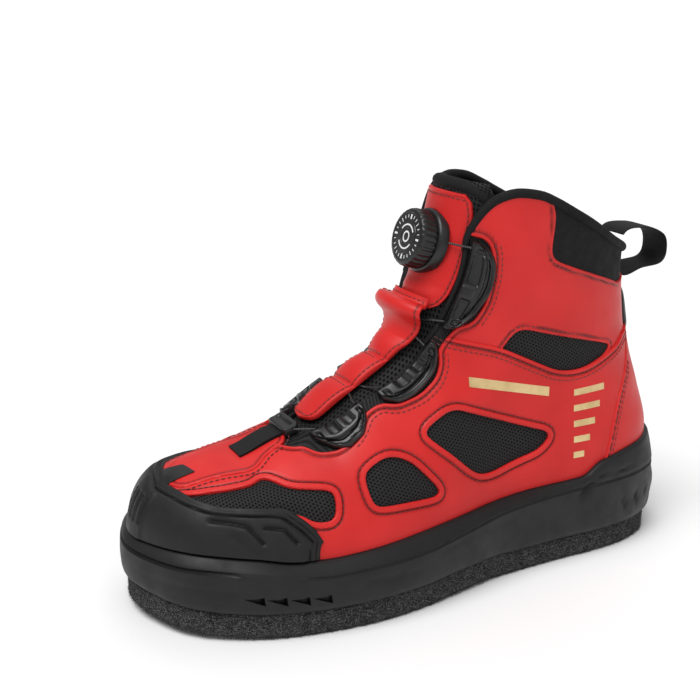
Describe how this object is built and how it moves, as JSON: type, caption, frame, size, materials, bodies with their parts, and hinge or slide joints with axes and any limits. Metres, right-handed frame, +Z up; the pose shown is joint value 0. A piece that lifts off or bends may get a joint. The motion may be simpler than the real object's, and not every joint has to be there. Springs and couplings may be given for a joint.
{
  "type": "wading boot",
  "caption": "Left wading boot with a thick felt sole, rubber cup midsole and toe cap, leather and mesh upper, and a dial-tightened lace.",
  "frame": {"origin": "on the ground under the middle of the boot's bounding box", "axes": "+Z up, toe towards -Y, heel towards +Y, outer (lateral) side of the left foot towards +X"},
  "size_m": [0.1242, 0.314, 0.2053],
  "materials": {
    "felt": "speckled dark grey pressed felt",
    "black_rubber": "satin moulded rubber",
    "stud_metal": "worn bright metal",
    "footbed": "cloth-covered foam",
    "red_leather": "satin coated synthetic leather",
    "black_cloth": "woven mesh and webbing",
    "black_plastic": "satin moulded plastic",
    "lace_cable": "coated steel cable"
  },
  "bodies": {
    "root": {"collar_binding": "black_cloth", "dial_base": "black_plastic", "dial_knob": "black_plastic", "felt_outsole": "felt", "front_webbing": "black_cloth", "guide_front": "black_plastic", "guide_high_lateral": "black_plastic", "guide_high_medial": "black_plastic", "guide_low_lateral": "black_plastic", "guide_low_medial": "black_plastic", "guide_mid_lateral": "black_plastic", "guide_mid_medial": "black_plastic", "heel_tab": "black_rubber", "insole": "footbed", "lace_crossing_high": "lace_cable", "lace_crossing_low": "lace_cable", "lace_dial_lateral": "lace_cable", "lace_dial_medial": "lace_cable", "lace_front_lateral": "lace_cable", "lace_front_medial": "lace_cable", "midsole": "black_rubber", "pull_loop": "black_cloth", "stud_01": "stud_metal", "stud_02": "stud_metal", "stud_03": "stud_metal", "stud_04": "stud_metal", "stud_05": "stud_metal", "stud_06": "stud_metal", "stud_07": "stud_metal", "stud_08": "stud_metal", "stud_09": "stud_metal", "stud_10": "stud_metal", "stud_11": "stud_metal", "toe_cap": "black_rubber", "tongue": "black_cloth", "tongue_plate": "red_leather", "tongue_strip": "red_leather", "upper": "red_leather"}
  },
  "joints": []
}
